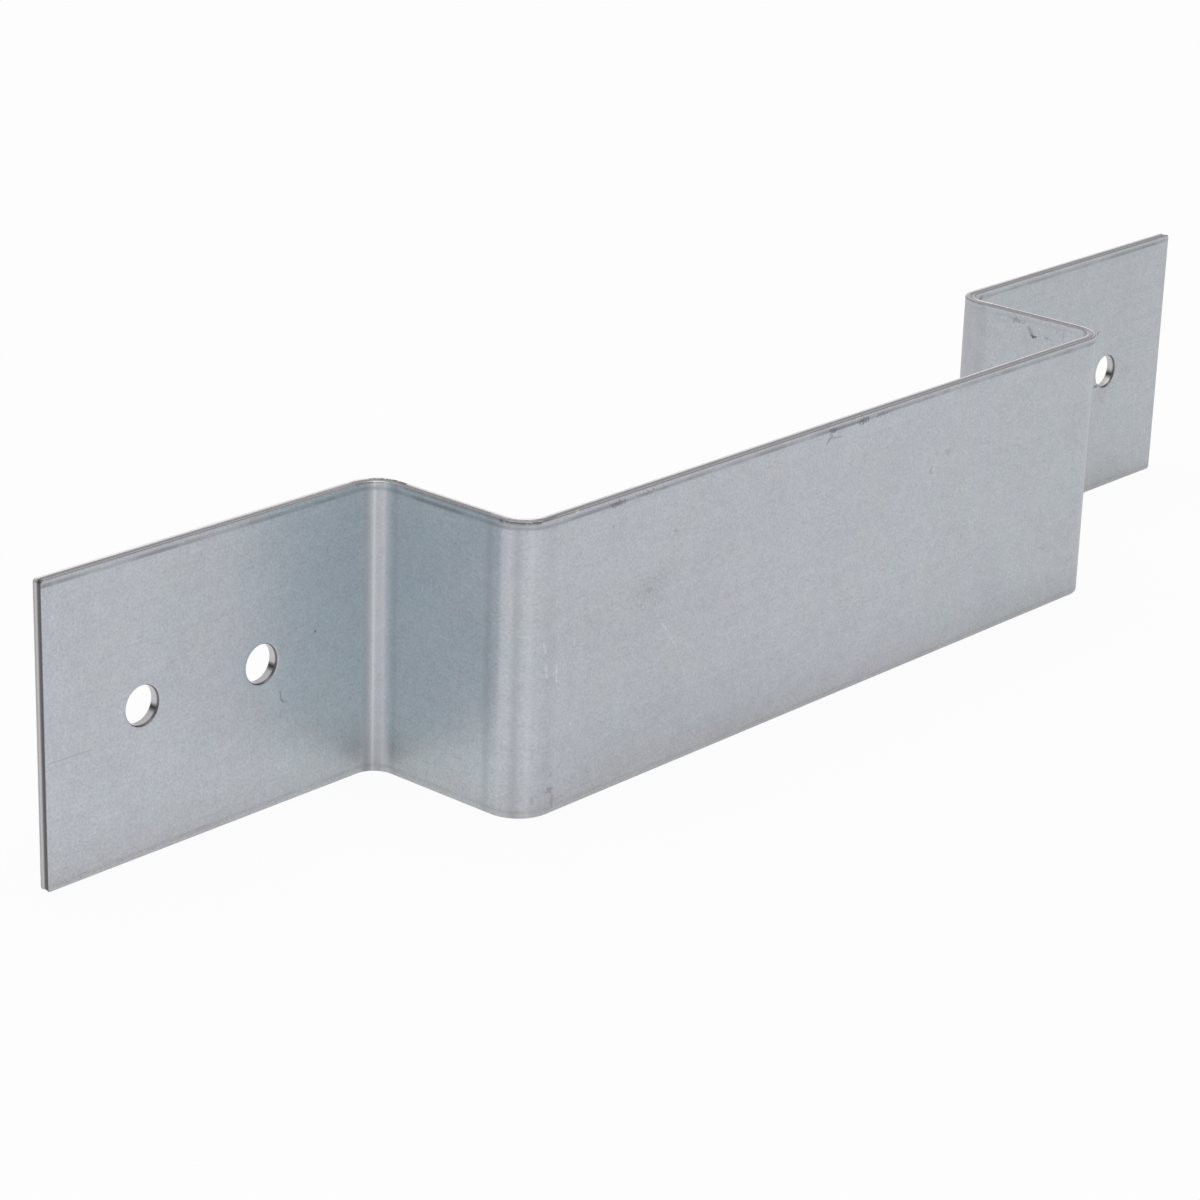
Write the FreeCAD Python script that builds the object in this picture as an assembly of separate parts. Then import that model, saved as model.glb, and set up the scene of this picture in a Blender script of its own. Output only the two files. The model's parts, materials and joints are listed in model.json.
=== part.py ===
# Fence panel bracket: one strip of galvanised steel folded to a hat. The middle of the strip wraps
# three sides of a slotted concrete post, and the two flanges are screwed to the fence panel's face.
# X runs along the bracket, the front plate looks towards -Y and the flanges' backs towards +Y.
# The bracket stands on the strip's lower slit edge, with the origin under the middle of its box.
import FreeCAD, Part
import os

# The strip, in millimetres
strip_width = 40.0
sheet_thickness = 1.5

# The channel that takes the post, measured between the sheet's faces
channel_width = 123.0
channel_depth = 26.0

# Each flange, measured from the outer face of the web beside it
flange_reach = 55.0

# Inside radii of the folds: two beside the flanges and two beside the front plate
flange_bend_radius = 3.0
front_bend_radius = 3.5

# Two punched screw holes in each flange, halfway up the strip
screw_hole_diameter = 5.2
outer_hole_inset = 15.4
screw_hole_pitch = 19.7

# Rounded corners of the flange ends, and the rolled arris that slitting and punching leave
end_corner_radius = 0.7
arris_radius = 0.3

# Worked out from the sizes above
half_sheet = sheet_thickness / 2
overall_length = channel_width + 2 * sheet_thickness + 2 * flange_reach
overall_depth = channel_depth + sheet_thickness
flange_middle_y = overall_depth / 2 - half_sheet
flange_front_y = overall_depth / 2 - sheet_thickness
flange_run = flange_reach - flange_bend_radius
web_run = channel_depth - sheet_thickness - flange_bend_radius - front_bend_radius
front_run = channel_width - 2 * front_bend_radius

LEFT, STRAIGHT, RIGHT = 1, 0, -1
UP = FreeCAD.Vector(0, 0, 1)
ALONG = FreeCAD.Vector(1, 0, 0)
THROUGH = FreeCAD.Vector(0, 1, 0)
LOOSE = 1e-6

# The strip from its left end to its right end: each flat run, and the square fold that ends it
RUNS_AND_FOLDS = (
    (flange_run, RIGHT, flange_bend_radius),
    (web_run, LEFT, front_bend_radius),
    (front_run, LEFT, front_bend_radius),
    (web_run, RIGHT, flange_bend_radius),
    (flange_run, STRAIGHT, None),
)


def sheet_side(offset):
    """One side of the folded strip, seen from above, as flat runs joined by the folds' arcs.

    The walk follows the middle of the sheet, and the side lies offset to the left of it.
    """
    here = FreeCAD.Vector(-overall_length / 2, flange_middle_y, 0)
    ahead = ALONG
    edges = []
    for run, turn, inside_radius in RUNS_AND_FOLDS:
        left = UP.cross(ahead)
        run_end = here + ahead * run
        edges.append(Part.makeLine(here + left * offset, run_end + left * offset))
        if turn == STRAIGHT:
            break
        middle_radius = inside_radius + half_sheet
        centre = run_end + left * turn * middle_radius
        edges.append(fold_arc(centre, -left * turn, ahead, middle_radius - turn * offset))
        here = centre + ahead * middle_radius
        ahead = left * turn
    return edges


def fold_arc(centre, first, last, radius):
    """A quarter circle about centre, from the direction first to the direction last."""
    halfway = (first + last).normalize()
    points = [centre + direction * radius for direction in (first, halfway, last)]
    return Part.Arc(*points).toShape()


def folded_strip():
    """The square-cut strip, folded: its outline seen from above, raised by the strip's width."""
    panel_side = sheet_side(half_sheet)
    outer_side = sheet_side(-half_sheet)
    left_end = Part.makeLine(panel_side[0].firstVertex().Point, outer_side[0].firstVertex().Point)
    right_end = Part.makeLine(panel_side[-1].lastVertex().Point, outer_side[-1].lastVertex().Point)
    outline = Part.sortEdges(panel_side + outer_side + [left_end, right_end])[0]
    return Part.Face(Part.Wire(outline)).extrude(UP * strip_width)


def lies_across_an_end(edge):
    """Whether an edge runs through the sheet at one of the strip's four free corners."""
    at_an_end = abs(abs(edge.CenterOfMass.x) - overall_length / 2) < LOOSE
    return at_an_end and edge.tangentAt(edge.FirstParameter).cross(THROUGH).Length < LOOSE


def round_end_corners(strip):
    return strip.makeFillet(end_corner_radius, [edge for edge in strip.Edges if lies_across_an_end(edge)])


def is_cut(face):
    """Whether a face was made by slitting or cropping the sheet, and so lies across it."""
    if isinstance(face.Surface, Part.Cylinder):
        return face.Surface.Axis.cross(THROUGH).Length < LOOSE
    is_slit_edge = face.Surface.Axis.cross(UP).Length < LOOSE
    is_flange_end = abs(abs(face.CenterOfMass.x) - overall_length / 2) < LOOSE
    return is_slit_edge or is_flange_end


def roll_arrises(strip):
    """Round the edges between the cut faces and the sheet's two sides, all round the strip."""
    cut_edges = [edge for face in strip.Faces if is_cut(face) for edge in face.Edges]
    arrises = [edge for edge in cut_edges if sum(edge.isSame(other) for other in cut_edges) == 1]
    return strip.makeFillet(arris_radius, arrises)


def punch(x):
    """The punch for a screw hole, reaching one sheet thickness past both sides of the flange."""
    start = FreeCAD.Vector(x, flange_front_y - sheet_thickness, strip_width / 2)
    return Part.makeCylinder(screw_hole_diameter / 2, 3 * sheet_thickness, start, THROUGH)


def is_punched_rim(edge):
    """Whether an edge is the mouth of a screw hole on the side that the punch went in."""
    is_circle = isinstance(edge.Curve, Part.Circle)
    return is_circle and edge.isClosed() and abs(edge.Curve.Center.y - flange_front_y) < LOOSE


def punch_screw_holes(strip):
    """Two screw holes in each flange, their mouths drawn in by the punch."""
    for inset in (outer_hole_inset, outer_hole_inset + screw_hole_pitch):
        x = overall_length / 2 - inset
        strip = strip.cut(punch(x)).cut(punch(-x))
    rims = [edge for edge in strip.Edges if is_punched_rim(edge)]
    return strip.makeFillet(arris_radius, rims)


def main():
    bracket = folded_strip()
    bracket = round_end_corners(bracket)
    bracket = roll_arrises(bracket)
    bracket = punch_screw_holes(bracket)
    os.makedirs("parts", exist_ok=True)
    bracket.exportStep("parts/bracket.step")


main()
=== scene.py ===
import json
import math
import bmesh
import bpy
from mathutils import Matrix, Vector, noise


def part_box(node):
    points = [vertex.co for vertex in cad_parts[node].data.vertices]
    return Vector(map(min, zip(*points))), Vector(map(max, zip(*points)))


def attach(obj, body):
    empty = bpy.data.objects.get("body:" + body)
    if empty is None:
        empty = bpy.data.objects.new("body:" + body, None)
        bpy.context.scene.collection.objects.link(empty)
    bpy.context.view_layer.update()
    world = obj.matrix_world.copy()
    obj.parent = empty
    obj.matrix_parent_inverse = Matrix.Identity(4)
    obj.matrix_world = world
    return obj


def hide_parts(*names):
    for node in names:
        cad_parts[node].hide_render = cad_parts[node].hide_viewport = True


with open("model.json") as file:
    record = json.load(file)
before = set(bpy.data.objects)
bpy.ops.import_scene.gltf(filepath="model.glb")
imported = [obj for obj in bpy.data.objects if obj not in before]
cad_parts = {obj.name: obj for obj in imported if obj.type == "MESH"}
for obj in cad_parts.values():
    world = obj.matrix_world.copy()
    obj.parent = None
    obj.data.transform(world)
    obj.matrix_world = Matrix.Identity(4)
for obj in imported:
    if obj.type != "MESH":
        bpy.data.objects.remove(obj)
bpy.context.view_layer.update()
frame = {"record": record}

# The bracket: one strip of galvanised steel, 1.5 mm thick and 40 mm wide, that wraps three sides of a
# slotted concrete post. The strip is slit from a coil, cropped, punched for two screws in each flange
# and folded square four times, so it is set out flat here and then folded.
low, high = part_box("bracket")
strip_width = high.z - low.z
sheet_thickness = 0.0015
half_sheet = sheet_thickness / 2
channel_width = 0.123
flange_bend_radius = 0.003
front_bend_radius = 0.0035
hole_radius = 0.0026
end_corner_radius = 0.0005

flange_run = (high.x - low.x - channel_width) / 2 - sheet_thickness - flange_bend_radius
web_run = high.y - low.y - 2 * sheet_thickness - flange_bend_radius - front_bend_radius
front_run = channel_width - 2 * front_bend_radius
quarter_turn = math.pi / 2
left, right = 1, -1
runs_and_folds = (
    (flange_run, right, flange_bend_radius + half_sheet),
    (web_run, left, front_bend_radius + half_sheet),
    (front_run, left, front_bend_radius + half_sheet),
    (web_run, right, flange_bend_radius + half_sheet),
    (flange_run, None, None),
)

# Where each flat run and each fold starts along the flat strip
run_starts = []
run_ends = []
strip_length = 0
for run, turn, middle_radius in runs_and_folds:
    run_starts.append(strip_length)
    run_ends.append(strip_length + run)
    strip_length += run
    if turn:
        strip_length += middle_radius * quarter_turn


def folded(along, up, out):
    """Where a point of the flat strip lies once the strip is folded.

    Along is measured from the left end, up from the lower slit edge, and out from the middle of the
    sheet towards the side that lies against the panel.
    """
    here = Vector((low.x, high.y - half_sheet))
    ahead = Vector((1, 0))
    for run, turn, middle_radius in runs_and_folds:
        side = Vector((-ahead.y, ahead.x))
        here = here + ahead * (min(along, run) if turn else along)
        along -= run
        if along <= 0 or not turn:
            break
        angle = min(along / middle_radius, quarter_turn)
        centre = here + side * turn * middle_radius
        spoke = ahead * math.sin(angle) - side * turn * math.cos(angle)
        here = centre + spoke * middle_radius
        ahead = ahead * math.cos(angle) + side * turn * math.sin(angle)
        side = -spoke * turn
        along -= middle_radius * quarter_turn
        if along <= 0:
            break
    return Vector((here.x + side.x * out, here.y + side.y * out, low.z + up))


# The sheet isn't dead flat: it keeps a faint wave from the coil, and its skins lie that much deeper
wave_height = 0.000012
wave_pitch = 0.011
wave_stretch_up = 3
skin = half_sheet - wave_height

# The slitting rolls leave a fine groove in the front skin, just inside each slit edge. It wanders a
# little along the strip, and is deeper in some places than in others.
groove_inset = 0.0008
groove_wander = 0.00012
groove_wander_length = 0.175
groove_wander_start = 0.016
groove_half_width = 0.0002
groove_depth = 0.000015
groove_patch = 0.004
groove_bite = 0.6
groove_bite_swing = 0.8
upper_edge_patches = 5


def coil_wave(along, up):
    """How far the whole sheet bows out at a place, from the coil's faint set."""
    return wave_height * noise.noise(Vector((along / wave_pitch, up / wave_pitch / wave_stretch_up, 0)))


def groove_line(along):
    """How far in from the slit edges the groove runs at a place along the strip."""
    turns = (along - groove_wander_start) / groove_wander_length
    return groove_inset + groove_wander * math.sin(2 * math.pi * turns)


def groove(along, up, out):
    """How deep the groove is pressed into the skin at a place."""
    from_edge = min(up, strip_width - up)
    offset = abs(from_edge - groove_line(along)) / groove_half_width
    if out > 0 or offset >= 1:
        return 0
    which_edge = round(up / strip_width) * upper_edge_patches
    patch = noise.noise(Vector((along / groove_patch, which_edge, 0)))
    bite = groove_bite + groove_bite_swing * patch
    return groove_depth * min(max(bite, 0), 1) * (0.5 + 0.5 * math.cos(math.pi * offset))


mesh = bmesh.new()
flat_place = mesh.verts.layers.float_vector.new("flat_place")
groove_place = mesh.verts.layers.float.new("groove_place")
bare_cut = mesh.verts.layers.float.new("bare_cut")
punched = mesh.verts.layers.float.new("punched")
millimetres = 1000


def add_point(along, up, out, cut=0, punch=0):
    """A point of the bracket's surface, which also remembers its place on the flat strip in mm."""
    sunk = out + groove(along, up, out) if cut == 0 else out
    point = mesh.verts.new(folded(along, up, sunk + coil_wave(along, up)))
    point[flat_place] = Vector((along, up, out)) * millimetres
    point[groove_place] = groove_line(along) * millimetres
    point[bare_cut] = cut
    point[punched] = punch
    return point


def join_rings(first, second):
    """Faces between two closed rings of as many points, leaving out corners that coincide."""
    count = len(first)
    for i in range(count):
        n = (i + 1) % count
        corners = list(dict.fromkeys((first[i], first[n], second[n], second[i])))
        if len(corners) > 2:
            mesh.faces.new(corners)


def marks_between(stops, step):
    """Marks at all the stops, and evenly between them at about the step."""
    marks = []
    for start, end in zip(stops, stops[1:]):
        count = max(1, round(abs(end - start) / step))
        marks += [start + (end - start) * i / count for i in range(count)]
    return marks + [stops[-1]]


# Each screw hole sits in a square patch of the sheet, where rings run from the square to the hole
outer_hole_inset = 0.0154
hole_pitch = frame["record"]["mounts"][0]["dims"]["spacing_x_mm"] / millimetres
patch_half = 0.006
just_inside_patch = patch_half * 0.999
hole_places = [outer_hole_inset, outer_hole_inset + hole_pitch]
hole_places += [strip_length - place for place in reversed(hole_places)]

patch_stops = [place + side * patch_half for place in hole_places for side in (-1, 1)]
fold_stops = [stop for start, end in zip(run_starts[1:], run_ends) for stop in (end, start)]
margin = end_corner_radius
along_stops = sorted([margin, *patch_stops, *fold_stops, strip_length - margin])
sheet_step = 0.00075
fold_step = 0.00037
columns = []
for start, end in zip(along_stops, along_stops[1:]):
    step = fold_step if start in run_ends else sheet_step
    columns += marks_between([start, end], step)[:-1]
columns.append(strip_length - margin)

groove_row_step = 0.00008
rows_past_groove = [0.0015, 0.0022]
groove_end = groove_inset + groove_wander + groove_half_width
near_edge = marks_between([margin, groove_end], groove_row_step) + rows_past_groove
patch_heights = [strip_width / 2 - patch_half, strip_width / 2 + patch_half]
up_stops = near_edge + patch_heights + [strip_width - stop for stop in reversed(near_edge)]
rows = marks_between(up_stops, sheet_step)


def skin_points(out):
    """The grid of points over one side of the strip, left open where the screw holes go."""
    points = {}
    for i, along in enumerate(columns):
        for j, up in enumerate(rows):
            near_hole = min(abs(along - place) for place in hole_places) < just_inside_patch
            if not (near_hole and abs(up - strip_width / 2) < just_inside_patch):
                points[i, j] = add_point(along, up, out)
    return points


def skin_faces(points):
    """Faces over one side of the strip, all but where the screw holes go."""
    for i in range(len(columns) - 1):
        for j in range(len(rows) - 1):
            corners = [points.get(key) for key in ((i, j), (i + 1, j), (i + 1, j + 1), (i, j + 1))]
            centre_up = (rows[j] + rows[j + 1]) / 2
            centre_along = (columns[i] + columns[i + 1]) / 2
            near_hole = min(abs(centre_along - place) for place in hole_places) < patch_half
            if not (near_hole and abs(centre_up - strip_width / 2) < patch_half):
                mesh.faces.new(corners)


def loop_keys(i_low, i_high, j_low, j_high):
    """The grid keys round a rectangle, anticlockwise from its lower left corner."""
    keys = [(i, j_low) for i in range(i_low, i_high)]
    keys += [(i_high, j) for j in range(j_low, j_high)]
    keys += [(i, j_high) for i in range(i_high, i_low, -1)]
    return keys + [(i_low, j) for j in range(j_high, j_low, -1)]


front_skin = skin_points(-skin)
panel_skin = skin_points(skin)
skin_faces(front_skin)
skin_faces(panel_skin)

# The slit edges and the cropped ends: the blades roll both arrises over and raise a fine lip beside
# each, which catches the light, and the cut face lies a little lower between the lips
corner_steps = 5
arris_radius = 0.0002
arris_steps = 5
lip_height = 0.00007
lip_width = 0.00017
last_column = len(columns) - 1
last_row = len(rows) - 1
border = loop_keys(0, last_column, 0, last_row)
corner_turns = {
    (0, 0): math.pi,
    (last_column, 0): 1.5 * math.pi,
    (last_column, last_row): 0,
    (0, last_row): quarter_turn,
}
nick_depth = 0.00002
nick_pitch = 0.0006


def border_ring(points, inset=None, out=None, cut=0):
    """The points round the strip at one distance in from its edge, or the skin's own border."""
    ring = []
    turn = 0
    for key in border:
        turn = corner_turns.get(key, turn)
        count = corner_steps if key in corner_turns else 0
        along = columns[key[0]]
        up = rows[key[1]]
        for step in range(count + 1):
            if inset is None:
                ring.append(points[key])
                continue
            angle = turn + quarter_turn * (step / count if count else 1)
            ragged = nick_depth * abs(noise.noise(Vector((along, up, out)) / nick_pitch)) * cut
            reach = margin - inset - ragged
            ring_along = along + math.cos(angle) * reach
            ring_up = up + math.sin(angle) * reach
            ring.append(add_point(ring_along, ring_up, out, cut))
    return ring


def rolled_arris(radius):
    """From the skin round to the cut face: how far in from the edge, how far out, and how bare."""
    places = []
    for step in range(arris_steps + 1):
        turn = quarter_turn * step / arris_steps
        out = skin - radius * (1 - math.cos(turn))
        places.append((radius * (1 - math.sin(turn)), out, math.sin(turn)))
    return places


lip_place = skin - arris_radius
lip_foot = lip_place - lip_width
lip_steps = (0.15, 0.5, 0.85)
cut_face_steps = (-1, -0.5, 0, 0.5, 1)
lip = [(lip_height * share, lip_place - lip_width * share) for share in lip_steps]
cut_face = [(inset, -out) for inset, out in lip]
cut_face += [(lip_height, lip_foot * share) for share in cut_face_steps]
cut_face += reversed(lip)
arris = rolled_arris(arris_radius)
shoulder = marks_between([margin, arris_radius], groove_row_step)[1:-1]
edge_section = [(inset, -skin, 0) for inset in shoulder]
edge_section += [(inset, -out, cut) for inset, out, cut in arris]
edge_section += [(inset, out, 1) for inset, out in cut_face]
edge_section += reversed(arris)
edge_section += [((margin + arris_radius) / 2, skin, 0)]
rings = [border_ring(front_skin)]
rings += [border_ring(None, inset, out, cut) for inset, out, cut in edge_section]
rings.append(border_ring(panel_skin))
for first, second in zip(rings, rings[1:]):
    join_rings(first, second)

# The screw holes: the punch draws the front rim in and burnishes the wall, and leaves the rim on the
# panel side sharp
to_hole = (0.4, 0.7, 0.9)
rim_radius = 0.00025
rim_shoulder = 0.0005
break_out = 0.00006
hole_wall = ((0, -half_sheet / 4), (0, half_sheet / 4), (break_out, skin))
first_corner_turn = 2.5 * quarter_turn
full_turn = 4 * quarter_turn


def hole_ring(keys, hole_along, share, radius, out, cut=0):
    """One ring round a screw hole, a share of the way from its square patch to a circle."""
    ring = []
    for n, (i, j) in enumerate(keys):
        angle = first_corner_turn + full_turn * n / len(keys)
        along = hole_along + radius * math.cos(angle)
        up = strip_width / 2 + radius * math.sin(angle)
        along = columns[i] + (along - columns[i]) * share
        up = rows[j] + (up - rows[j]) * share
        ring.append(add_point(along, up, out, cut, punch=cut))
    return ring


for hole_along in hole_places:
    i_low, i_high = [
        min(range(len(columns)), key=lambda i: abs(columns[i] - hole_along - side * patch_half))
        for side in (-1, 1)
    ]
    j_low, j_high = [
        min(range(len(rows)), key=lambda j: abs(rows[j] - height)) for height in patch_heights
    ]
    keys = loop_keys(i_low, i_high, j_low, j_high)
    shoulder_radius = hole_radius + rim_radius + rim_shoulder
    rings = [[front_skin[key] for key in keys]]
    rings += [hole_ring(keys, hole_along, share, shoulder_radius, -skin) for share in (*to_hole, 1)]
    rings += [
        hole_ring(keys, hole_along, 1, hole_radius + inset, -out, cut)
        for inset, out, cut in rolled_arris(rim_radius)
    ]
    rings += [hole_ring(keys, hole_along, 1, hole_radius + flare, out, 1) for flare, out in hole_wall]
    back_rim = rings[-1]
    rings += [
        hole_ring(keys, hole_along, share, shoulder_radius, skin) for share in (1, *reversed(to_hole))
    ]
    rings += [[panel_skin[key] for key in keys]]
    for first, second in zip(rings, rings[1:]):
        join_rings(first, second)
    for first, second in zip(back_rim, back_rim[1:] + back_rim[:1]):
        mesh.edges.get((first, second)).smooth = False

bmesh.ops.recalc_face_normals(mesh, faces=mesh.faces)
for face in mesh.faces:
    face.smooth = True
bracket_mesh = bpy.data.meshes.new("bracket")
mesh.to_mesh(bracket_mesh)
mesh.free()
bracket = bpy.data.objects.new("folded_bracket", bracket_mesh)
bpy.context.scene.collection.objects.link(bracket)

# The zinc coating: hot-dipped, rolled smooth and dulled by the air. Its colour drifts in soft clouds,
# its grain is finer than a millimetre, and the rolls leave faint streaks along the strip.
zinc_colour = (0.588, 0.613, 0.660, 1)
zinc_roughness = 0.38
zinc_metallic = 0.95


def add_node(tree, kind, inputs, **settings):
    """A shader node with its settings, whose inputs are given as values or as other nodes' outputs."""
    node = tree.nodes.new(kind)
    for name, value in settings.items():
        setattr(node, name, value)
    for name, value in inputs.items():
        if isinstance(value, bpy.types.NodeSocket):
            tree.links.new(value, node.inputs[name])
        else:
            node.inputs[name].default_value = value
    return node


def sums(tree, operation, *values):
    """The output of a Math node on the values or outputs given."""
    return add_node(tree, "ShaderNodeMath", dict(enumerate(values)), operation=operation).outputs[0]


def vector_sums(tree, operation, *values):
    """A Vector Math node on the vectors or outputs given."""
    return add_node(tree, "ShaderNodeVectorMath", dict(enumerate(values)), operation=operation)


def fade(tree, value, low, high, at_low=0, at_high=1):
    """A smooth step from one level to another as the value goes from low to high."""
    step = {"Value": value, "From Min": low, "From Max": high, "To Min": at_low, "To Max": at_high}
    return add_node(tree, "ShaderNodeMapRange", step, interpolation_type="SMOOTHSTEP").outputs["Result"]


def blend(tree, share, first, second):
    """A colour the given share of the way from the first to the second."""
    node = add_node(tree, "ShaderNodeMix", {}, data_type="RGBA")
    sockets = {socket.name: socket for socket in node.inputs if socket.enabled}
    for name, value in {"Factor": share, "A": first, "B": second}.items():
        if isinstance(value, bpy.types.NodeSocket):
            tree.links.new(value, sockets[name])
        else:
            sockets[name].default_value = value
    return next(socket for socket in node.outputs if socket.enabled)


def new_effect(name, inputs, outputs):
    """A node group with named inputs and outputs, and the two nodes that hold them inside it."""
    group = bpy.data.node_groups.new(name, "ShaderNodeTree")
    for socket_name, kind in inputs.items():
        group.interface.new_socket(socket_name, in_out="INPUT", socket_type=kind)
    for socket_name, kind in outputs.items():
        group.interface.new_socket(socket_name, in_out="OUTPUT", socket_type=kind)
    return group, group.nodes.new("NodeGroupInput").outputs, group.nodes.new("NodeGroupOutput").inputs


number = "NodeSocketFloat"
vector = "NodeSocketVector"

# Streaks: noise drawn out along one direction of the strip
streaks, given, gives = new_effect(
    "rolled streaks", {"Place": vector, "Stretch": vector}, {"Streak": number}
)
drawn_out = vector_sums(streaks, "MULTIPLY", given["Place"], given["Stretch"]).outputs[0]
streak_noise = add_node(
    streaks, "ShaderNodeTexNoise", {"Vector": drawn_out, "Scale": 1, "Detail": 3, "Roughness": 0.6}
)
streaks.links.new(streak_noise.outputs["Fac"], gives["Streak"])

# A line across the strip where a fold's tools bore on it, or where the fold begins
fold_line, given, gives = new_effect(
    "fold line", {"Along": number, "Where": number, "Half Width": number}, {"Mask": number}
)
off_line = sums(fold_line, "ABSOLUTE", sums(fold_line, "SUBTRACT", given["Along"], given["Where"]))
off_line = sums(fold_line, "DIVIDE", off_line, given["Half Width"])
fold_line.links.new(fade(fold_line, off_line, 0, 1, 1, 0), gives["Mask"])

# A scratch: a thin straight line from one place on the sheet to another, worn off in parts
scratch_core = 0.2
worn_from = 0.35
worn_to = 0.55
worn_least = 0.35
scratch, given, gives = new_effect(
    "scratch",
    {"Place": vector, "Start": vector, "End": vector, "Width": number, "Wear": number},
    {"Mask": number},
)
reach = vector_sums(scratch, "SUBTRACT", given["End"], given["Start"]).outputs[0]
offset = vector_sums(scratch, "SUBTRACT", given["Place"], given["Start"]).outputs[0]
travelled = vector_sums(scratch, "DOT_PRODUCT", offset, reach).outputs["Value"]
whole = vector_sums(scratch, "DOT_PRODUCT", reach, reach).outputs["Value"]
share = sums(scratch, "DIVIDE", travelled, whole)
share = sums(scratch, "MINIMUM", sums(scratch, "MAXIMUM", share, 0), 1)
nearest = add_node(scratch, "ShaderNodeVectorMath", {0: reach, "Scale": share}, operation="SCALE")
gap = vector_sums(scratch, "DISTANCE", offset, nearest.outputs[0]).outputs["Value"]
line = fade(scratch, sums(scratch, "DIVIDE", gap, given["Width"]), scratch_core, 1, 1, 0)
left_over = fade(scratch, given["Wear"], worn_from, worn_to, worn_least, 1)
scratch.links.new(sums(scratch, "MULTIPLY", line, left_over), gives["Mask"])

# A smudge: a small blotch with a ragged edge
raggedness = 2.4
smudge_core = 0.4
smudge, given, gives = new_effect(
    "smudge", {"Place": vector, "Centre": vector, "Reach": vector, "Wear": number}, {"Mask": number}
)
offset = vector_sums(smudge, "SUBTRACT", given["Place"], given["Centre"]).outputs[0]
offset = vector_sums(smudge, "DIVIDE", offset, given["Reach"]).outputs[0]
gap = vector_sums(smudge, "LENGTH", offset).outputs["Value"]
gap = sums(smudge, "SUBTRACT", gap, raggedness / 2)
gap = sums(smudge, "MULTIPLY_ADD", given["Wear"], raggedness, gap)
smudge.links.new(fade(smudge, gap, smudge_core, 1, 1, 0), gives["Mask"])

steel = bpy.data.materials.new("galvanised steel")
steel.use_nodes = True
tree = steel.node_tree
surface = tree.nodes["Principled BSDF"]
place = add_node(tree, "ShaderNodeAttribute", {}, attribute_name="flat_place").outputs["Vector"]
cut = add_node(tree, "ShaderNodeAttribute", {}, attribute_name="bare_cut").outputs["Fac"]
punch = add_node(tree, "ShaderNodeAttribute", {}, attribute_name="punched").outputs["Fac"]
groove_at = add_node(tree, "ShaderNodeAttribute", {}, attribute_name="groove_place").outputs["Fac"]
place_parts = add_node(tree, "ShaderNodeSeparateXYZ", {"Vector": place}).outputs
along, up, out = place_parts["X"], place_parts["Y"], place_parts["Z"]


def spread(scale, detail, roughness):
    """Soft noise over the flat strip, as the outputs of its node."""
    settings = {"Vector": place, "Scale": scale, "Detail": detail, "Roughness": roughness}
    return add_node(tree, "ShaderNodeTexNoise", settings).outputs


def streaked(stretch):
    """Noise over the flat strip, drawn out along or across it."""
    settings = {"Place": place, "Stretch": stretch}
    return add_node(tree, "ShaderNodeGroup", settings, node_tree=streaks).outputs["Streak"]


# Clouds, mottle, grain and streaks, each with how far it swings the level about 1 that multiplies the
# zinc's colour
cloud = spread(scale=0.11, detail=3, roughness=0.55)["Fac"]
mottle = spread(scale=0.8, detail=2, roughness=0.6)["Fac"]
grain = spread(scale=2.6, detail=3, roughness=0.7)["Fac"]
rolled_along = streaked((0.006, 1.3, 1))
rubbed_across = streaked((0.9, 0.02, 1))
levels = ((cloud, 0.10), (mottle, 0.20), (grain, 0.66), (rolled_along, 0.09), (rubbed_across, 0.03))
level = 1
for source, swing in levels:
    level = sums(tree, "ADD", level, sums(tree, "MULTIPLY_ADD", source, swing, -swing / 2))

# The zinc also strays a little in tint, each of its three colours on its own
tint_swing = 0.10
tint = spread(scale=0.12, detail=4, roughness=0.75)["Color"]
least_tint = (1 - tint_swing / 2,) * 3
tint_level = vector_sums(tree, "MULTIPLY_ADD", tint, (tint_swing,) * 3, least_tint)
shade = vector_sums(tree, "MULTIPLY", zinc_colour[:3], tint_level.outputs[0]).outputs[0]
shade = vector_sums(tree, "MULTIPLY", shade, level).outputs[0]

# Painted light: the zinc is painted a little brighter left of the front plate and on the panel side,
# and duller on the right flange, for how the light and its reflections fall there. It is also warmer
# from the middle of the front plate on. All places are in mm on the flat strip.
left_level = 1.075
left_part_ends = (66, 96)
right_level = 0.975
right_part_starts = (222, 236)
panel_side_level = 1.07
through_the_sheet = (-0.1, 0.1)
warm_tint = (0.96, 0.975, 0.955)
warm_part_starts = (150, 196)
brighter_left = fade(tree, along, *left_part_ends, left_level, 1)
duller_right = fade(tree, along, *right_part_starts, 1, right_level)
painted_light = sums(tree, "MULTIPLY", brighter_left, duller_right)
brighter_back = fade(tree, out, *through_the_sheet, 1, panel_side_level)
painted_light = sums(tree, "MULTIPLY", painted_light, brighter_back)
shade = vector_sums(tree, "MULTIPLY", shade, painted_light).outputs[0]
warmer = vector_sums(tree, "MULTIPLY", shade, warm_tint).outputs[0]
shade = blend(tree, fade(tree, along, *warm_part_starts), shade, warmer)

# To both sides of the first fold it is painted greener, a painted reflection of the flange and web in
# each other, and painted brighter towards the lower edge there, a painted reflection of the floor. All
# along that edge the last few millimetres carry painted shade, duller and warmer.
green_part_starts = (27, 44)
green_part_ends = (74, 78)
first_fold = 55.3
first_fold_half_width = 2.6
green_tint = (0.985, 1.03, 1.02)
foot_tint = (1.05, 1.04, 1.03)
foot_ends = (6, 18)
lower_edge_tint = (0.97, 0.94, 0.92)
lower_edge_ends = (0, 6)
green_start = fade(tree, along, *green_part_starts)
green_end = fade(tree, along, *green_part_ends, 1, 0)
beside_fold = sums(tree, "MULTIPLY", green_start, green_end)
on_fold = {"Along": along, "Where": first_fold, "Half Width": first_fold_half_width}
on_fold = add_node(tree, "ShaderNodeGroup", on_fold, node_tree=fold_line).outputs["Mask"]
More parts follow.
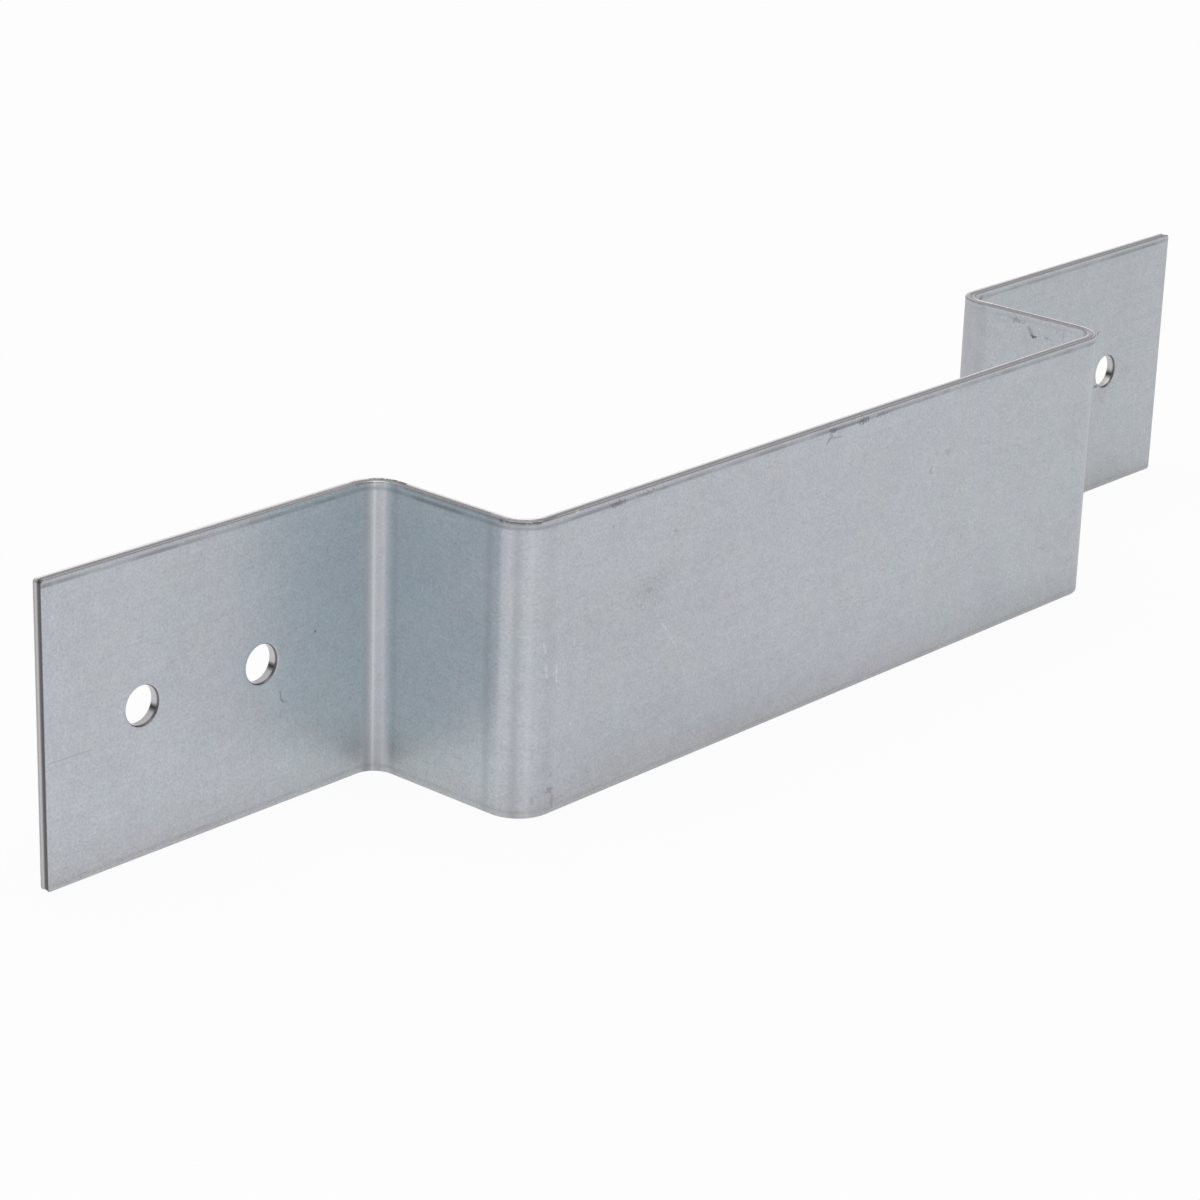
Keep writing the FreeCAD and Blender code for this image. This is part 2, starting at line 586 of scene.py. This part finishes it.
beside_fold = sums(tree, "MULTIPLY", beside_fold, sums(tree, "SUBTRACT", 1, on_fold))
painted_greener = vector_sums(tree, "MULTIPLY", shade, green_tint).outputs[0]
shade = blend(tree, beside_fold, shade, painted_greener)
painted_brighter_foot = vector_sums(tree, "MULTIPLY", shade, foot_tint).outputs[0]
at_foot = sums(tree, "MULTIPLY", beside_fold, fade(tree, up, *foot_ends, 1, 0))
shade = blend(tree, at_foot, shade, painted_brighter_foot)
painted_shade_below = vector_sums(tree, "MULTIPLY", shade, lower_edge_tint).outputs[0]
shade = blend(tree, fade(tree, up, *lower_edge_ends, 1, 0), shade, painted_shade_below)

# The folds carry lines that are partly real marks of the folding tools, which burnish the zinc bright
# or leave it dull, and partly painted highlights and painted shade where the bends catch and lose the
# light; a hazed tint lies over the last fold. Each line has its place along the strip and its half
# width in mm, how strong it shows, and its colour.
burnished_highlight = (0.86, 0.88, 0.91, 1)
stretched = (0.54, 0.545, 0.565, 1)
dulled_shade = (0.42, 0.45, 0.48, 1)
fold_painted_shade = (0.30, 0.32, 0.35, 1)
hazed = (0.52, 0.505, 0.55, 1)
fold_lines = (
    (53.6, 1.3, 0.55, fold_painted_shade),
    (54.7, 0.35, 0.5, burnished_highlight),
    (55.4, 1.1, 0.5, stretched),
    (56.4, 0.6, 0.25, burnished_highlight),
    (57.1, 0.7, 0.25, burnished_highlight),
    (58.4, 0.7, 0.2, dulled_shade),
    (74.8, 1.1, 0.34, dulled_shade),
    (76.8, 0.6, 0.12, burnished_highlight),
    (78.5, 0.9, 0.45, dulled_shade),
    (80.0, 0.7, 0.2, burnished_highlight),
    (82.4, 1.8, 0.2, dulled_shade),
    (222.3, 1.5, 0.22, dulled_shade),
    (226.2, 5.5, 0.7, hazed),
    (230.5, 1.6, 0.2, dulled_shade),
)
for where, half_width, strength, colour in fold_lines:
    inputs = {"Along": along, "Where": where, "Half Width": half_width}
    mask = add_node(tree, "ShaderNodeGroup", inputs, node_tree=fold_line).outputs["Mask"]
    shade = blend(tree, sums(tree, "MULTIPLY", mask, strength), shade, colour)

# The groove beside the slit edges is painted darker, in patches, most along the upper edge
millimetre_width = strip_width * millimetres
from_middle = sums(tree, "ABSOLUTE", sums(tree, "SUBTRACT", up, millimetre_width / 2))
from_edge = sums(tree, "SUBTRACT", millimetre_width / 2, from_middle)
past_groove = sums(tree, "SUBTRACT", from_edge, groove_at)
darkening_starts = (-0.55, 0)
darkening_ends = (0.08, 0.4)
darkening_stretch = (0.16, 0.02, 2)
darkening_patches = (0.35, 0.65)
least_darkening = 0.45
halfway_up = (18, 22)
lower_edge_darkening = 0.3
panel_side_darkening = 0.25
darkening_strength = 0.66
groove_dark_colour = (0.24, 0.25, 0.26, 1)
before_groove = fade(tree, past_groove, *darkening_starts)
after_groove = fade(tree, past_groove, *darkening_ends, 1, 0)
groove_darkening = sums(tree, "MULTIPLY", before_groove, after_groove)
darkening_shares = (
    fade(tree, streaked(darkening_stretch), *darkening_patches, least_darkening, 1),
    fade(tree, up, *halfway_up, lower_edge_darkening, 1),
    fade(tree, out, *through_the_sheet, 1, panel_side_darkening),
    darkening_strength,
)
for darkening_share in darkening_shares:
    groove_darkening = sums(tree, "MULTIPLY", groove_darkening, darkening_share)
shade = blend(tree, groove_darkening, shade, groove_dark_colour)

# Marks left by handling, in mm on the flat strip. A scratch is given by its two ends, its half width,
# how strong it shows and its colour, and a smudge by its middle and how far it reaches.
grime = (0.15, 0.16, 0.17, 1)
fresh_zinc = (0.80, 0.82, 0.86, 1)
rust_tint = (0.42, 0.37, 0.34, 1)
old_zinc = (0.40, 0.41, 0.40, 1)
front_side = -half_sheet * millimetres
panel_side = half_sheet * millimetres
scratches = (
    # left flange: a hooked hairline below the inner hole, a long faint one from the end, and a speck
    ((38.2, 15.5, front_side), (38.4, 14.3, front_side), 0.16, 0.55, grime),
    ((38.4, 14.3, front_side), (38.8, 13.9, front_side), 0.16, 0.6, grime),
    ((38.8, 13.9, front_side), (39.4, 13.75, front_side), 0.14, 0.25, grime),
    ((0.5, 16.7, front_side), (7.3, 16.6, front_side), 0.12, 0.3, grime),
    ((44.25, 21.95, front_side), (44.35, 21.95, front_side), 0.24, 1, grime),
    # the fold beside the front plate: light upright ticks, and a dark one near the lower edge
    ((81.7, 23.6, front_side), (81.9, 22.4, front_side), 0.22, 0.7, fresh_zinc),
    ((82.0, 20.6, front_side), (82.2, 18.9, front_side), 0.22, 0.7, fresh_zinc),
    ((83.8, 20.2, front_side), (83.9, 18.0, front_side), 0.24, 0.85, fresh_zinc),
    ((80.6, 2.9, front_side), (80.7, 1.9, front_side), 0.25, 0.25, grime),
    # front plate: a long light scratch with a short branch, and a forked dark one at the upper groove
    ((104.1, 20.4, front_side), (107.0, 16.6, front_side), 0.2, 0.45, fresh_zinc),
    ((107.0, 16.6, front_side), (109.9, 10.0, front_side), 0.18, 0.35, fresh_zinc),
    ((104.9, 16.6, front_side), (106.0, 17.9, front_side), 0.16, 0.35, fresh_zinc),
    ((137.0, 37.65, front_side), (138.1, 38.5, front_side), 0.3, 0.5, grime),
    ((138.0, 38.15, front_side), (140.2, 37.95, front_side), 0.2, 0.4, grime),
    ((138.4, 39.1, front_side), (144.6, 39.2, front_side), 0.3, 0.5, grime),
    # inside the right web: a short upright tick, and a rub towards a dark speck
    ((207.4, 38.6, panel_side), (207.4, 37.5, panel_side), 0.14, 0.35, grime),
    ((213.6, 38.1, panel_side), (213.0, 37.2, panel_side), 0.5, 0.45, grime),
    # right flange: a faint tick below the hole
    ((269.2, 8.8, front_side), (269.0, 7.4, front_side), 0.14, 0.25, grime),
)
smudges = (
    ((94.5, 39.1, front_side), (1.9, 0.5, 1), 0.5, grime),
    ((100.1, 39.2, front_side), (2.4, 0.4, 1), 0.35, grime),
    ((103.4, 39.2, front_side), (1.4, 0.3, 1), 0.25, grime),
    ((138.1, 39.1, front_side), (1.1, 0.55, 1), 0.6, grime),
    ((145.0, 39.1, front_side), (1.4, 0.65, 1), 0.65, grime),
    ((148.9, 39.2, front_side), (1.8, 0.4, 1), 0.4, grime),
    ((83.3, 5.3, front_side), (0.35, 0.3, 1), 0.3, grime),
    ((83.1, 3.3, front_side), (0.9, 0.5, 1), 0.35, grime),
    ((83.6, 1.7, front_side), (0.6, 1.5, 1), 0.6, rust_tint),
    ((101.1, 26.0, front_side), (4.5, 3.2, 1), 0.18, old_zinc),
    ((101.3, 25.8, front_side), (0.8, 0.6, 1), 0.2, grime),
    ((106.1, 32.7, front_side), (0.5, 0.5, 1), 0.25, grime),
    ((93.9, 36.2, front_side), (0.35, 0.35, 1), 0.25, grime),
    ((161.1, 28.3, front_side), (0.4, 0.7, 1), 0.3, grime),
    ((164.8, 30.2, front_side), (0.8, 0.5, 1), 0.2, grime),
    ((190.2, 9.4, front_side), (0.35, 0.35, 1), 0.3, grime),
    ((215.9, 38.8, panel_side), (1.6, 0.5, 1), 0.35, grime),
    ((212.6, 36.9, panel_side), (0.7, 0.35, 1), 0.9, grime),
    ((210.3, 37.2, panel_side), (0.9, 0.4, 1), 0.25, grime),
    ((263.3, 18.0, front_side), (0.5, 0.4, 1), 0.7, grime),
    ((264.4, 16.8, front_side), (3.2, 2.0, 1), 0.14, rust_tint),
    ((262.7, 26.9, front_side), (0.5, 0.35, 1), 0.35, grime),
    ((229.8, 39.0, front_side), (0.6, 0.5, 1), 0.5, grime),
)
wear = spread(scale=2.6, detail=3, roughness=0.5)["Fac"]


def lined(shade, start, end, half_width, strength, colour):
    """The shade with one scratch or worn line drawn over it."""
    inputs = {"Place": place, "Start": start, "End": end, "Width": half_width, "Wear": wear}
    mask = add_node(tree, "ShaderNodeGroup", inputs, node_tree=scratch).outputs["Mask"]
    return blend(tree, sums(tree, "MULTIPLY", mask, strength), shade, colour)


for mark in scratches:
    shade = lined(shade, *mark)
for centre, reach, strength, colour in smudges:
    inputs = {"Place": place, "Centre": centre, "Reach": reach, "Wear": wear}
    mask = add_node(tree, "ShaderNodeGroup", inputs, node_tree=smudge).outputs["Mask"]
    shade = blend(tree, sums(tree, "MULTIPLY", mask, strength), shade, colour)

# The cut faces are bare steel, and the lips beside them carry a painted highlight. The strip's two ends
# carry painted light on the panel side and painted shade on the front side. The punched holes are
# burnished, with a painted highlight at their foot below a band of painted shade, and a dark rim where
# the skin was drawn in.
cut_colour = (0.56, 0.55, 0.565, 1)
lip_highlight = (0.92, 0.89, 0.93, 1)
end_front_shade = (0.15, 0.145, 0.145, 1)
end_panel_light = (0.62, 0.60, 0.62, 1)
hole_wall_colour = (0.64, 0.63, 0.64, 1)
hole_foot_highlight = (0.94, 0.92, 0.94, 1)
hole_band_shade = (0.10, 0.10, 0.11, 1)
hole_rim_colour = (0.21, 0.20, 0.21, 1)
half_length = strip_length * millimetres / 2
end_starts = (half_length - 0.75, half_length - 0.4)
end_shade_ends = (-0.25, 0.2)
hole_foot_starts = (1.4, 1.8)
hole_band_line = 1.1
hole_band_half_width = 0.6
drawn_rim_ends = (-0.45, -0.28)
lip_starts = (0.33, 0.4)
lip_ends = (0.53, 0.58)
punched_from = (0.3, 0.6)
bare_from = (0.3, 0.75)
past_middle = sums(tree, "ABSOLUTE", sums(tree, "SUBTRACT", along, half_length))
at_end = fade(tree, past_middle, *end_starts)
end_shade = blend(tree, fade(tree, out, *end_shade_ends, 1, 0), end_panel_light, end_front_shade)
below_middle = sums(tree, "SUBTRACT", millimetre_width / 2, up)
at_hole_foot = fade(tree, below_middle, *hole_foot_starts)
hole_shade = blend(tree, at_hole_foot, hole_wall_colour, hole_foot_highlight)
hole_shade_band = {"Along": below_middle, "Where": hole_band_line, "Half Width": hole_band_half_width}
hole_shade_band = add_node(tree, "ShaderNodeGroup", hole_shade_band, node_tree=fold_line).outputs["Mask"]
hole_shade = blend(tree, hole_shade_band, hole_shade, hole_band_shade)
hole_shade = blend(tree, fade(tree, out, *drawn_rim_ends, 1, 0), hole_shade, hole_rim_colour)
from_sheet_middle = sums(tree, "ABSOLUTE", out)
past_lip_foot = fade(tree, from_sheet_middle, *lip_starts)
before_arris = fade(tree, from_sheet_middle, *lip_ends, 1, 0)
on_lip = sums(tree, "MULTIPLY", past_lip_foot, before_arris)
cut_shade = blend(tree, on_lip, cut_colour, lip_highlight)
cut_shade = blend(tree, at_end, cut_shade, end_shade)
cut_shade = blend(tree, fade(tree, punch, *punched_from), cut_shade, hole_shade)
bare = fade(tree, cut, *bare_from)
shade = blend(tree, bare, shade, cut_shade)

# Along the upper slit edge a painted highlight keeps to the cut's far side and crosses it in the folds,
# with painted shade where the folds turn the cut away from the light, partly where the folding tools
# rubbed it dull, and one painted glint on a burr. Each line has its two ends, given as how far along
# the strip and how far out they lie in mm, its half width, its strength and its colour.
dull_edge_shade = (0.24, 0.235, 0.245, 1)
burr_glint = (0.96, 0.94, 0.86, 1)
upper_edge_lines = (
    ((10, 0.45), (51, 0.12), 0.34, 0.8, lip_highlight),
    ((51.5, -0.7), (54.2, -0.7), 0.4, 0.6, dull_edge_shade),
    ((52.8, -0.55), (55.6, -0.55), 0.3, 0.4, dull_edge_shade),
    ((54.2, -0.2), (58, -0.2), 0.55, 0.45, lip_highlight),
    ((54.4, 0.6), (58.8, 0.45), 0.55, 1, dull_edge_shade),
    ((60, -0.6), (76.5, -0.6), 0.55, 0.45, dull_edge_shade),
    ((74.5, 0.15), (80.5, 0.15), 0.4, 0.9, lip_highlight),
    ((76, -0.92), (80.5, -0.72), 0.42, 1, dull_edge_shade),
    ((80.5, -0.72), (83.5, -0.2), 0.4, 0.85, dull_edge_shade),
    ((83, -0.3), (89, -0.1), 0.35, 0.35, dull_edge_shade),
    ((86.9, -0.68), (87.1, -0.68), 0.4, 1, burr_glint),
    ((160, 0.5), (180, 0.5), 0.35, 0.6, lip_highlight),
    ((199, 0.6), (203.5, -0.4), 0.5, 0.95, lip_highlight),
    ((199.8, 0.35), (202, 0.1), 0.5, 0.7, lip_highlight),
    ((200.5, 0.25), (204, -0.15), 0.5, 0.6, lip_highlight),
    ((205.5, -0.25), (222, -0.25), 0.45, 0.3, dull_edge_shade),
    ((221.5, -0.5), (227.5, 0.4), 0.5, 0.95, lip_highlight),
    ((223.5, 0), (227.5, 0.25), 0.55, 0.7, lip_highlight),
    ((225, 0.1), (228, 0.4), 0.5, 0.8, lip_highlight),
    ((229, 0.4), (242, 0.4), 0.3, 0.7, lip_highlight),
)
for (from_along, from_out), (to_along, to_out), half_width, strength, colour in upper_edge_lines:
    start = (from_along, millimetre_width, from_out)
    end = (to_along, millimetre_width, to_out)
    shade = lined(shade, start, end, half_width, strength, colour)

# The skin just under that edge carries painted shade too, where the second fold begins
shaded_height = millimetre_width - 0.2
shaded_start = (76.5, shaded_height, -0.75)
shaded_end = (80.8, shaded_height, -0.75)
shaded_half_width = 0.45
shaded_strength = 0.8
shade = lined(shade, shaded_start, shaded_end, shaded_half_width, shaded_strength, dull_edge_shade)

# Roughness: the grain varies it, the cut faces are smoother, and the lips beside them are torn rough
cut_roughness = 0.25
lip_roughness = 0.6
punched_roughness = 0.3
roughness_swing = 0.10
smooth_from = (0.3, 0.7)
grain_relief = 0.000004
least_roughness = zinc_roughness - roughness_swing / 2
rough = sums(tree, "MULTIPLY_ADD", grain, roughness_swing, least_roughness)
rough_cut = fade(tree, on_lip, 0, 1, cut_roughness, lip_roughness)
rough = fade(tree, bare, 0, 1, rough, rough_cut)
rough = fade(tree, punch, *smooth_from, rough, punched_roughness)

tree.links.new(shade, surface.inputs["Base Color"])
tree.links.new(rough, surface.inputs["Roughness"])
surface.inputs["Metallic"].default_value = zinc_metallic
bumps = {"Height": grain, "Strength": 1, "Distance": grain_relief}
relief = add_node(tree, "ShaderNodeBump", bumps)
tree.links.new(relief.outputs["Normal"], surface.inputs["Normal"])
bracket_mesh.materials.append(steel)

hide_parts("bracket")
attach(bracket, "root")

# The floor: a plain sheet that the bracket stands on and throws its shadow on. The camera sees it as
# nearly white, and it shows in the metal at part of that strength.
floor_half = 3
floor_colour = (0.88, 0.88, 0.88, 1)
white_to_camera = 0.94
white_in_metal = 0.4
floor_mesh = bpy.data.meshes.new("floor")
floor_sides = ((-1, -1), (1, -1), (1, 1), (-1, 1))
floor_corners = [(x * floor_half, y * floor_half, low.z) for x, y in floor_sides]
floor_mesh.from_pydata(floor_corners, [], [(0, 1, 2, 3)])
floor = bpy.data.objects.new("floor", floor_mesh)
bpy.context.scene.collection.objects.link(floor)
floor_paint = bpy.data.materials.new("floor paint")
floor_paint.use_nodes = True
tree = floor_paint.node_tree
paint = tree.nodes["Principled BSDF"]
paint.inputs["Base Color"].default_value = floor_colour
paint.inputs["Roughness"].default_value = 0.9
paint.inputs["Specular IOR Level"].default_value = 0
white = add_node(tree, "ShaderNodeEmission", {"Color": (1, 1, 1, 1), "Strength": 1})
seen = add_node(tree, "ShaderNodeLightPath", {}).outputs
mirrored = sums(tree, "MAXIMUM", seen["Is Glossy Ray"], seen["Is Transmission Ray"])
mirrored = sums(tree, "MULTIPLY", mirrored, white_in_metal)
directly = sums(tree, "MULTIPLY", seen["Is Camera Ray"], white_to_camera)
white_share = sums(tree, "MAXIMUM", directly, mirrored)
mixed = {0: white_share, 1: paint.outputs[0], 2: white.outputs[0]}
seen_floor = add_node(tree, "ShaderNodeMixShader", mixed)
tree.links.new(seen_floor.outputs[0], tree.nodes["Material Output"].inputs["Surface"])
floor_mesh.materials.append(floor_paint)

# The studio light: a dim white room all round, and one wide soft lamp that hangs over the bracket,
# so that the upright faces are lit evenly
world = bpy.data.worlds.new("studio")
bpy.context.scene.world = world
world.use_nodes = True
room = world.node_tree.nodes["Background"]
room.inputs["Color"].default_value = (1, 1, 1, 1)
room.inputs["Strength"].default_value = 0.42

soft_light = bpy.data.lights.new("soft lamp", "AREA")
soft_light.size = 2.4
soft_light.energy = 32
soft_lamp = bpy.data.objects.new("soft lamp", soft_light)
soft_lamp.location = (0, 0, 2.5)
bpy.context.scene.collection.objects.link(soft_lamp)

# The camera: a long lens, a little above the bracket and off its left end, as in the photograph. It is
# turned to its heading, looks down, and is tilted a little about its own axis.
camera_data = bpy.data.cameras.new("camera")
camera_data.sensor_width = 36
camera_data.lens = 107.942
camera_data.clip_start = 0.01
camera = bpy.data.objects.new("camera", camera_data)
camera_place = Vector((-0.36954, -0.29520, 0.18683))
heading = math.radians(48.7302)
looking_down = math.radians(20.5494)
tilted = math.radians(1.8481)
camera.matrix_world = (
    Matrix.Translation(camera_place)
    @ Matrix.Rotation(-heading, 4, "Z")
    @ Matrix.Rotation(quarter_turn - looking_down, 4, "X")
    @ Matrix.Rotation(tilted, 4, "Z")
)
bpy.context.scene.collection.objects.link(camera)
bpy.context.scene.camera = camera

bpy.context.scene.view_settings.view_transform = "Standard"
